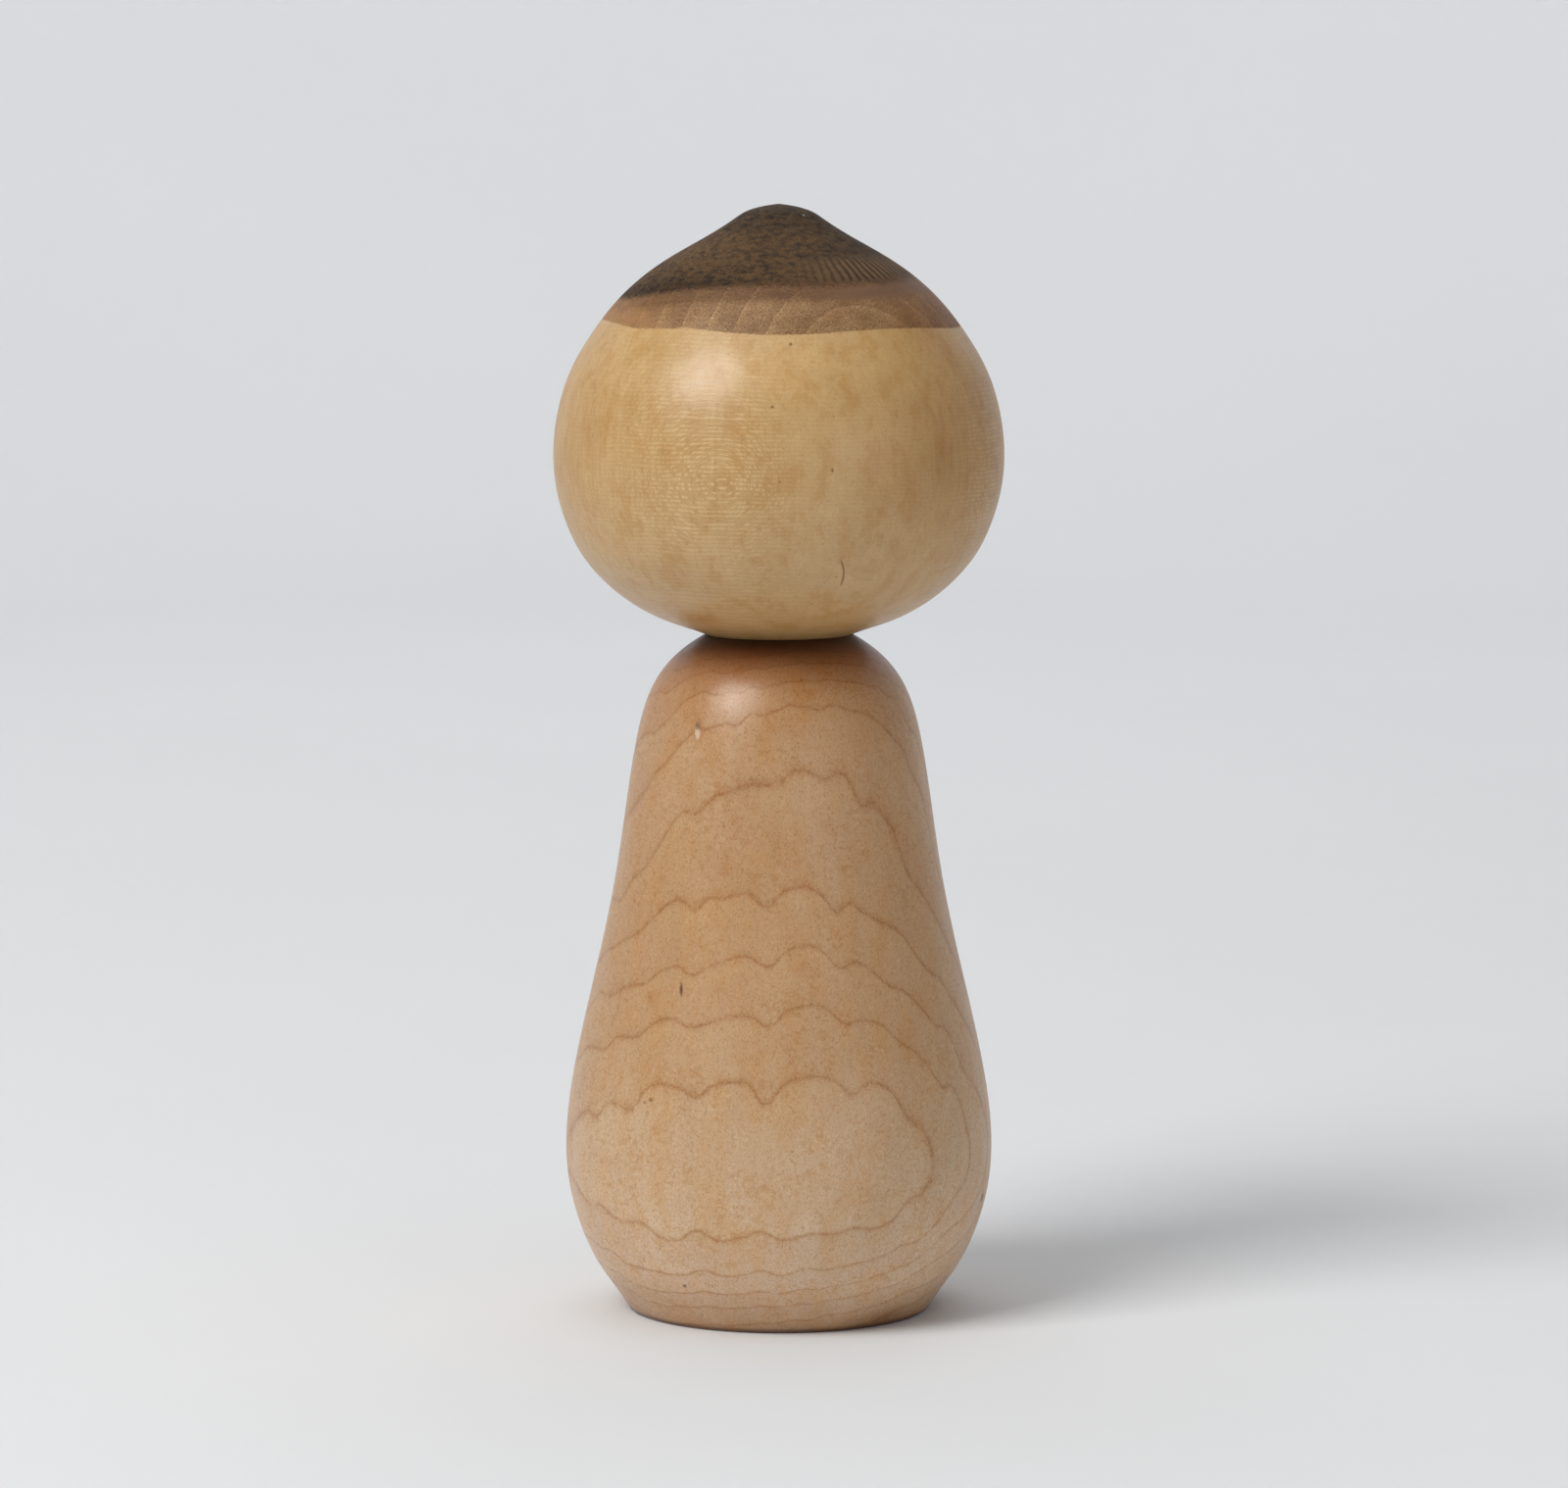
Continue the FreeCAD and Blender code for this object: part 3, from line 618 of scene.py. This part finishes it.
strength = w.mul(w.step(w.noise((2.6, 2.6, 3.5), 3.0, 0.65, shift=2.2), 0.28, 0.60, to=(0.45, 1.0)),
                 w.step(w.noise((0.36, 0.36, 0.36), 1.0, shift=77.0), 0.34, 0.56, to=(0.55, 1.05)))
colour = w.mix(strength, colour, ring, "MULTIPLY")
# small marks: short dark ticks, a pin knot and a sliver of bark
for centre, size_, factor in (
        ((-15.7, -25.7, 56.4), (0.42, 1.5, 1.7), (0.30, 0.20, 0.14)),
        ((-12.75, -14.5, 99.7), (0.36, 4.0, 1.7), (0.42, 0.27, 0.17)),
        ((-15.2, -26.1, 8.1), (0.50, 1.5, 0.45), (0.35, 0.22, 0.15)),
        ((-20.6, -27.0, 38.7), (0.55, 1.5, 0.50), (0.55, 0.42, 0.30)),
        ((-21.6, -26.2, 38.1), (0.35, 1.5, 0.35), (0.55, 0.42, 0.30)),
        ((-29.3, -4.9, 58.5), (1.5, 0.6, 0.6), (0.35, 0.24, 0.16)),
        ((33.4, -8.2, 19.4), (1.6, 1.3, 1.3), (0.25, 0.17, 0.12)),
        ((14.0, 21.6, 71.0), (0.5, 1.5, 1.3), (0.40, 0.28, 0.19)),
        ((-24.5, 22.8, 30.5), (0.5, 1.2, 0.5), (0.40, 0.28, 0.19))):
    colour = w.tint(colour, w.spot(centre, size_, 0.8), factor)
knot_x = w.sub(w.x, -13.1)
knot_z = w.sub(w.z, 97.6)
front_side = w.step(w.y, -10.0, -12.0)
knot_far = w.math("SQRT", w.add(w.math("POWER", w.mul(knot_x, 1.0 / 0.44), 2.0),
                                w.math("POWER", w.mul(knot_z, 1.0 / 1.40), 2.0)))
knot = w.mul(w.step(knot_far, 1.30, 0.55), front_side)
halo = w.mul(w.step(knot_far, 2.6, 1.0), front_side)
colour = w.tint(colour, halo, (0.93, 0.84, 0.72))
knot_colour = w.ramp(w.step(knot_z, -1.2, 1.3, "LINEAR"), [
    (0.0, (0.58, 0.43, 0.29)), (0.45, (0.56, 0.40, 0.26)), (0.62, (0.30, 0.17, 0.09)),
    (0.85, (0.16, 0.08, 0.045)), (1.0, (0.26, 0.14, 0.07))])
colour = w.mix(knot, colour, knot_colour)
w.put(w.shader.inputs["Base Color"], colour)
w.put(w.shader.inputs["Roughness"],
      w.step(w.noise((2.5, 2.5, 6.0), 3.0, 0.6, shift=8.8), 0.25, 0.75, "LINEAR", (0.30, 0.40)))
w.put(w.shader.inputs["Normal"], w.bump(
    w.add(w.add(w.mul(dash, -0.5), w.mul(w.noise((1.6, 1.6, 12.0), 2.0, shift=0.6), 1.0)),
          w.mul(knot, -3.0)), 0.030, 0.6))
body.data.materials.append(w.material)

# --- head: yellower wood, stained crown
w = Wood("head_wood")
w.shader.inputs["IOR"].default_value = 1.54
lift = w.sub(w.z, 140.67)
px = w.sub(w.x, w.add(23.9, w.mul(lift, -0.0177)))
py = w.sub(w.y, w.add(-44.1, w.mul(lift, -0.0775)))
rho = w.math("SQRT", w.add(w.mul(px, px), w.mul(py, py)))
theta = w.mul(w.math("ARCTAN2", px, py), 34.0)
polar = w.join(theta, rho, w.z)
turn = w.math("ARCTAN2", w.x, w.mul(w.y, -1.0))
base = w.mix(w.step(w.noise((10, 10, 22), 3.0, 0.55, shift=4.4), 0.30, 0.70),
             (0.482, 0.298, 0.119), (0.525, 0.336, 0.144))
# browner to one side, golden on the other, warmer low down
colour = w.tint(base, w.step(w.x, 8.0, 35.0), (0.86, 0.75, 0.55))
colour = w.tint(colour, w.step(w.x, -24.0, -38.0), (0.96, 0.91, 0.79))
colour = w.tint(colour, w.step(w.z, 121.0, 112.5), (0.98, 0.88, 0.70))
colour = w.mix(w.step(w.z, 147.0, 116.0, to=(0.0, 0.35)), colour, (0.545, 0.372, 0.200))
for centre, size_, factor in (
        ((1.5, -33.5, 157.5), (24.0, 16.0, 9.0), (1.13, 1.14, 1.16)),
        ((-13.5, -17.4, 115.7), (8.0, 7.0, 2.4), (0.82, 0.68, 0.50)),
        ((2.0, -36.0, 138.5), (6.0, 8.0, 4.5), (0.96, 0.90, 0.80)),
        ((17.5, -32.0, 139.5), (8.0, 8.0, 9.0), (0.93, 0.85, 0.74)),
        ((26.0, -26.1, 143.0), (1.7, 5.0, 12.0), (0.93, 0.86, 0.76)),
        ((-29.6, -21.8, 141.0), (0.8, 3.0, 13.0), (0.95, 0.89, 0.80)),
        ((-26.0, 24.0, 136.0), (10.0, 9.0, 8.0), (0.95, 0.88, 0.78)),
        ((11.0, 33.0, 149.0), (12.0, 9.0, 6.0), (1.05, 1.06, 1.08))):
    ragged = w.step(w.noise((2.2, 2.2, 3.4), 3.0, 0.65, shift=centre[0]), 0.2, 0.6)
    colour = w.tint(colour, w.mul(w.spot(centre, size_), ragged), factor)
blotch = w.noise((3.2, 3.2, 5.0), 4.0, 0.62, shift=21.0)
colour = w.tint(colour, w.step(blotch, 0.48, 0.64), (0.93, 0.86, 0.73))
colour = w.tint(colour, w.step(blotch, 0.46, 0.30), (1.05, 1.07, 1.10))
# thin flat rays that run out from the pith: rows 0.7 mm apart, seen side-on
# as dashes where the surface is parallel to them and end-on elsewhere
rows = w.add(w.mul(w.z, 1.0 / 0.70), w.mul(w.noise((7, 7, 5), 2.0, shift=2.5), 1.6))
lens_row = w.sub(1.0, w.math("ABSOLUTE", w.sub(w.mul(w.math("FRACT", rows), 2.0), 1.0)))


def rays(thickness, wobble):
    """1 on a pale ray, 0 between rays, for plates of this thickness in mm."""
    plates = w.add(w.mul(theta, 1.0 / thickness),
                   w.mul(w.noise((6, 6, 4.5), 1.0, shift=6.5), wobble))
    cell = w.new("ShaderNodeTexWhiteNoise", noise_dimensions="3D")
    w.put(cell.inputs["Vector"], w.join(
        w.math("FLOOR", plates), w.math("FLOOR", rows),
        w.math("FLOOR", w.mul(w.add(rho, 5.0), 1.0 / 17.0))))
    lens = w.sub(1.0, w.math("ABSOLUTE", w.sub(w.mul(w.math("FRACT", plates), 2.0), 1.0)))
    return w.mul(w.mul(w.step(lens_row, 0.15, 0.70), w.step(lens, 0.0, 0.5)),
                 w.step(cell.outputs["Value"], 0.15, 0.70))


normal = w.tree.nodes.new("ShaderNodeTexCoord").outputs["Normal"]
split = w.new("ShaderNodeSeparateXYZ")
w.put(split.inputs[0], normal)
facing = w.math("ABSOLUTE", w.math("DIVIDE", w.add(
    w.mul(split.outputs[0], px), w.mul(split.outputs[1], py)), rho))
fleck = w.mix(w.step(facing, 0.055, 0.10), rays(0.030, 0.5), rays(0.075, 0.8))
show = w.step(facing, 0.10, 0.55, to=(1.0, 0.25))
level = w.math("ABSOLUTE", w.sub(w.z, 141.0))
show = w.mul(show, w.step(level, 7.0, 16.0, to=(1.0, 0.5)))
patchy = w.step(w.noise((3.5, 3.5, 2.8), 2.0, 0.5, shift=31.0), 0.25, 0.50, to=(0.6, 1.0))
show = w.mul(show, patchy)
colour = w.tint(colour, w.mul(show, fleck), (1.18, 1.26, 1.42))
colour = w.tint(colour, w.mul(show, w.sub(1.0, fleck)), (0.93, 0.90, 0.83))
growth = w.attribute("growth")
grow_phase = w.math("FRACT", w.add(growth, w.add(
    0.5, w.mul(w.sub(w.noise((1.2, 1.2, 3.0), 2.0, shift=14.0), 0.5), 0.05))))
faint = w.ramp(grow_phase, [
    (0.0, (1.0, 1.0, 1.0)), (0.40, (1.0, 1.0, 1.0)), (0.485, (0.965, 0.95, 0.92)),
    (0.50, (0.93, 0.89, 0.82)), (0.52, (1.02, 1.025, 1.03)), (0.62, (1.01, 1.015, 1.02)),
    (1.0, (1.0, 1.0, 1.0))])
colour = w.mix(w.step(w.noise((8, 8, 8), 2.0, shift=3.3), 0.4, 0.65, to=(0.15, 0.9)),
               colour, faint, "MULTIPLY")
edges = w.step(w.math("ABSOLUTE", w.x), 16.0, 31.0, to=(0.35, 1.0))
streak = w.noise((0.7, 0.7, 22.0), 3.0, 0.65, shift=5.2)
colour = w.tint(colour, w.mul(w.step(streak, 0.46, 0.62), edges), (0.93, 0.88, 0.78))
colour = w.tint(colour, w.mul(w.step(streak, 0.42, 0.30), edges), (1.04, 1.05, 1.07))
speck = w.noise((0.30, 0.30, 0.42), 2.0, 0.65, shift=17.0)
colour = w.tint(colour, w.step(speck, 0.52, 0.70), (0.88, 0.82, 0.72))
specks = w.cells((2.6, 2.6, 2.8), jitter=1.0)
crowd = w.step(w.noise((11, 11, 9), 2.0, shift=27.0), 0.54, 0.70)
colour = w.tint(colour, w.mul(w.step(specks, 0.10, 0.05), crowd), (0.70, 0.58, 0.46))
for centre, size_, factor in (
        ((1.9, -30.85, 160.4), (0.40, 1.5, 0.40), (0.40, 0.28, 0.18)),
        ((-1.0, -35.5, 150.7), (0.45, 1.5, 0.35), (0.42, 0.30, 0.20)),
        ((8.5, -35.9, 140.7), (0.30, 1.5, 0.55), (0.50, 0.36, 0.24)),
        ((12.8, 30.5, 127.0), (0.4, 1.5, 1.2), (0.45, 0.32, 0.21)),
        ((-24.0, 27.0, 143.0), (0.5, 0.8, 0.5), (0.42, 0.30, 0.20))):
    colour = w.tint(colour, w.spot(centre, size_, 0.8), factor)
# a curved scratch low on the front
bend = w.sub(w.z, 124.0)
line_x = w.sub(10.35, w.mul(w.mul(bend, bend), 0.105))
scratch = w.step(w.math("ABSOLUTE", w.sub(w.x, line_x)), 0.24, 0.06)
scratch = w.mul(scratch, w.step(w.math("ABSOLUTE", bend), 2.6, 1.6))
scratch = w.mul(scratch, w.step(w.y, -20.0, -22.0))
colour = w.tint(colour, scratch, (0.50, 0.36, 0.24))
# crown stain
stain = w.attribute("stain")
dark = w.attribute("dark")
ripple = w.sub(w.noise((0.9, 0.9, 0.5), 4.0, 0.7, shift=1.1), 0.5)
on = w.step(w.add(stain, w.mul(ripple, 0.55)), -0.12, 0.16)
brown = w.mix(w.step(w.noise((5, 5, 3), 3.0, 0.6, shift=6.0), 0.3, 0.7),
              (0.240, 0.125, 0.048), (0.315, 0.183, 0.078))
rings_in_stain = w.ramp(grow_phase, [
    (0.0, (0.92, 0.90, 0.88)), (0.30, (0.98, 0.97, 0.97)), (0.44, (1.10, 1.12, 1.14)),
    (0.488, (1.22, 1.26, 1.32)), (0.50, (1.50, 1.62, 1.80)), (0.513, (1.18, 1.20, 1.22)),
    (0.53, (0.84, 0.80, 0.76)), (0.66, (0.86, 0.83, 0.80)), (1.0, (0.92, 0.90, 0.88))])
brown = w.mix(0.85, brown, rings_in_stain, "MULTIPLY")
vessel = w.noise((0.21, 0.21, 0.55), 1.0, 0.5, shift=2.0)
brown = w.tint(brown, w.step(vessel, 0.50, 0.66), (0.58, 0.52, 0.46))
brown = w.tint(brown, w.step(vessel, 0.44, 0.30), (1.30, 1.36, 1.45))
brown = w.tint(brown, w.mul(fleck, w.step(facing, 0.05, 0.5, to=(0.9, 0.1))), (1.22, 1.28, 1.38))
band = w.step(w.add(dark, w.mul(ripple, 1.6)), -3.3, -1.5)
brown = w.tint(brown, band, (0.55, 0.455, 0.34))
brown = w.tint(brown, w.step(w.x, 12.0, 27.0), (0.76, 0.57, 0.36))
lean = w.add(turn, w.mul(w.sub(w.z, 168.0), 0.03))
red = w.mul(w.mul(w.step(lean, 0.15, 0.5), w.step(lean, 1.9, 1.4)),
            w.mul(w.step(dark, -2.9, -2.3), w.step(dark, -0.5, -1.1)))
brown = w.mix(w.mul(red, 0.6), brown, (0.175, 0.088, 0.042))
thin = w.mul(w.step(w.x, -15.0, -25.5), w.step(stain, 7.0, 1.0))
thin = w.mul(thin, w.step(w.noise((3.4, 3.4, 1.5), 3.0, 0.6, shift=40.0), 0.30, 0.62, to=(0.35, 1.0)))
brown = w.mix(w.mul(thin, 0.85), brown, (0.340, 0.165, 0.054))
mottle = w.noise((1.5, 1.5, 0.65), 4.0, 0.72, shift=9.0)
deep = w.mix(w.step(mottle, 0.33, 0.62), (0.024, 0.014, 0.007), (0.104, 0.055, 0.021))
deep = w.tint(deep, w.mul(w.step(w.x, -2.0, -17.0), w.step(dark, 3.5, 0.5)), (0.62, 0.60, 0.60))
deep = w.tint(deep, w.step(w.z, 176.0, 180.5), (0.66, 0.74, 0.86))
gold = w.mul(w.spot((-11.0, -6.0, 173.5), (13.0, 15.0, 5.5)),
             w.step(w.noise((0.9, 0.9, 0.5), 3.0, 0.75, shift=51.0), 0.42, 0.62))
deep = w.mix(w.mul(gold, 0.8), deep, (0.175, 0.098, 0.043))
deep = w.tint(deep, w.mul(w.step(w.x, 5.0, 13.0), w.step(w.z, 172.6, 174.6)), (0.62, 0.64, 0.70))
deep = w.tint(deep, w.step(vessel, 0.50, 0.68), (0.55, 0.54, 0.52))
deep = w.tint(deep, w.step(vessel, 0.43, 0.28), (1.55, 1.50, 1.42))
# chatter ticks of the turning tool
beat = w.math("SINE", w.add(w.mul(turn, 90.0), w.mul(w.noise((4, 4, 4), 1.0, shift=13.0), 4.0)))
window = w.mul(w.mul(w.step(turn, -0.10, 0.75), w.step(turn, 2.0, 1.5)),
               w.mul(w.step(w.add(dark, w.mul(ripple, 1.2)), -0.1, 0.5), w.step(w.z, 174.4, 172.4)))
deep = w.mix(w.mul(window, 0.7), deep, (0.165, 0.096, 0.046))
deep = w.tint(deep, w.mul(window, w.step(beat, -0.2, 0.8)), (0.30, 0.26, 0.23))
rim = w.mul(w.step(w.add(dark, w.mul(ripple, 1.5)), 1.3, 0.2), w.step(mottle, 0.35, 0.6))
deep = w.tint(deep, w.mul(rim, 0.5), (0.55, 0.50, 0.48))
over = w.step(w.add(dark, w.mul(ripple, 2.4)), -0.8, 0.6)
crown = w.mix(over, brown, deep)
chips = w.cells((1.9, 1.9, 1.9), jitter=1.0)
crown = w.mix(w.mul(w.mul(w.step(chips, 0.16, 0.07), w.step(w.z, 179.4, 180.4)), 0.8),
              crown, (0.42, 0.38, 0.33))
colour = w.mix(on, colour, crown)
w.put(w.shader.inputs["Base Color"], colour)
satin = w.step(w.noise((2.5, 2.5, 2.5), 3.0, 0.6, shift=8.8), 0.25, 0.75, "LINEAR", (0.31, 0.40))
w.put(w.shader.inputs["Roughness"], w.add(satin, w.mul(w.add(on, over), 0.15)))
w.put(w.shader.inputs["Specular IOR Level"], w.sub(0.5, w.mul(w.add(on, over), 0.18)))
height = w.add(w.mul(fleck, w.mul(show, 0.5)), w.mul(w.mul(window, beat), -0.9))
height = w.add(height, w.mul(w.mul(w.step(vessel, 0.5, 0.66), on), -0.9))
tooling = w.noise((60, 60, 0.55), 2.0, 0.6, shift=19.0)
height = w.add(height, w.mul(tooling, w.add(0.25, w.mul(on, 0.6))))
w.put(w.shader.inputs["Normal"], w.bump(height, 0.022, 0.6))
head.data.materials.append(w.material)

# --- dowel: plain pale wood, end grain at both ends
w = Wood("dowel_wood")
w.shader.inputs["IOR"].default_value = 1.45
growth = w.math("SQRT", w.add(w.mul(w.sub(w.x, 9.0), w.sub(w.x, 9.0)),
                              w.mul(w.sub(w.y, 5.0), w.sub(w.y, 5.0))))
wave = w.math("FRACT", w.mul(w.add(growth, w.mul(w.noise((3, 3, 30), 2.0), 0.9)), 0.55))
colour = w.ramp(wave, [(0.0, (0.60, 0.43, 0.26)), (0.7, (0.54, 0.37, 0.21)),
                       (0.9, (0.44, 0.28, 0.15)), (1.0, (0.60, 0.43, 0.26))])
colour = w.tint(colour, w.step(w.noise((0.15, 0.15, 2.0), 2.0, shift=3.0), 0.52, 0.7),
                (0.82, 0.76, 0.68))
w.put(w.shader.inputs["Base Color"], colour)
w.put(w.shader.inputs["Roughness"],
      w.step(w.noise((1, 1, 4), 2.0), 0.3, 0.7, "LINEAR", (0.55, 0.68)))
w.put(w.shader.inputs["Normal"], w.bump(w.noise((0.25, 0.25, 3.0), 2.0), 0.03, 0.5))
dowel.data.materials.append(w.material)

for piece, node, rides, slot_name in (
        (body, "body", "torso", "body_wood"), (head, "head", "head_unit", "head_wood"),
        (dowel, "neck_dowel", "head_unit", "dowel_wood")):
    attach(piece, rides)
    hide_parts(node)

# ------------------------------------------------------------------- backdrop
def sweep(name, flat, bend, rise, segments=128):
    """Seamless round cove: flat floor that curves up into a wall all round."""
    path = [(r, 0.0) for r in (0.0, 0.12, 0.4, flat)]
    path += [(flat + bend * math.sin(a), bend - bend * math.cos(a))
             for a in np.linspace(0, math.pi / 2, 41)[1:]]
    path.append((flat + bend, rise))
    verts, faces = [(0.0, 0.0, 0.0)], []
    turn = np.arange(segments) * 2 * math.pi / segments
    for r, z in path[1:]:
        verts += [(r * math.cos(a), r * math.sin(a), z) for a in turn]
    for j in range(segments):
        faces.append((0, 1 + j, 1 + (j + 1) % segments))
    for i in range(len(path) - 2):
        a, b = 1 + i * segments, 1 + (i + 1) * segments
        for j in range(segments):
            k = (j + 1) % segments
            faces.append((a + j, b + j, b + k, a + k))
    mesh = bpy.data.meshes.new(name)
    mesh.from_pydata(verts, [], faces)
    mesh.polygons.foreach_set("use_smooth", [True] * len(mesh.polygons))
    obj = bpy.data.objects.new(name, mesh)
    bpy.context.scene.collection.objects.link(obj)
    return obj


paper = sweep("paper_sweep", 1.4, 0.9, 2.1)
w = Wood("paper")
colour = w.mix(w.step(w.noise((260, 260, 260), 2.0), 0.3, 0.7),
               (0.775, 0.785, 0.797), (0.785, 0.795, 0.807))
w.put(w.shader.inputs["Base Color"], colour)
w.shader.inputs["Roughness"].default_value = 0.9
w.shader.inputs["Specular IOR Level"].default_value = 0.1
paper.data.materials.append(w.material)


# ---------------------------------------------------------------------- light
def area(name, direction, distance, size_, watts, tone=(1, 1, 1), aim=(0, 0, 0.09)):
    lamp = bpy.data.lights.new(name, "AREA")
    lamp.shape = "RECTANGLE"
    lamp.size, lamp.size_y = size_
    lamp.energy = watts
    lamp.color = tone
    obj = bpy.data.objects.new(name, lamp)
    direction = Vector(direction).normalized()
    obj.location = Vector(aim) + direction * distance
    obj.rotation_euler = (-direction).to_track_quat("-Z", "Y").to_euler()
    bpy.context.scene.collection.objects.link(obj)
    return obj


def toward(azimuth, elevation):
    a, e = math.radians(azimuth), math.radians(elevation)
    return (math.sin(a) * math.cos(e), -math.cos(a) * math.cos(e), math.sin(e))


area("key_softbox", toward(-48, 43), 1.9, (0.9, 0.9), 25.5, (1.0, 0.99, 0.975))
area("overhead", toward(0, 89), 1.9, (2.0, 2.0), 10.2, (0.985, 0.99, 1.0))
area("low_fill", toward(35, 5), 1.7, (1.2, 0.35), 2.0)
area("background", toward(0, 60), 1.6, (1.6, 0.5), 10.0, (0.985, 0.992, 1.0), (0, 1.9, 0.3))
world = bpy.data.worlds.new("studio")
world.use_nodes = True
world.node_tree.nodes["Background"].inputs[0].default_value = (0.97, 0.985, 1.0, 1)
world.node_tree.nodes["Background"].inputs[1].default_value = 0.05
bpy.context.scene.world = world

# --------------------------------------------------------------------- camera
camera = bpy.data.cameras.new("camera")
camera.sensor_fit = "HORIZONTAL"
camera.sensor_width = 36.0
camera.lens = 144.0
camera.clip_start, camera.clip_end = 0.05, 30.0
eye = bpy.data.objects.new("camera", camera)
tilt = math.radians(6.0)
distance = 1.031535
aim = Vector((0.000846, 0, 0.093471))
eye.location = aim + Vector((0, -distance * math.cos(tilt), distance * math.sin(tilt)))
eye.rotation_euler = (math.radians(90.0) - tilt, 0, 0)
bpy.context.scene.collection.objects.link(eye)
bpy.context.scene.camera = eye

view = bpy.context.scene.view_settings
view.view_transform = "Standard"
view.look = "None"
view.exposure = 0.0
view.gamma = 1.0
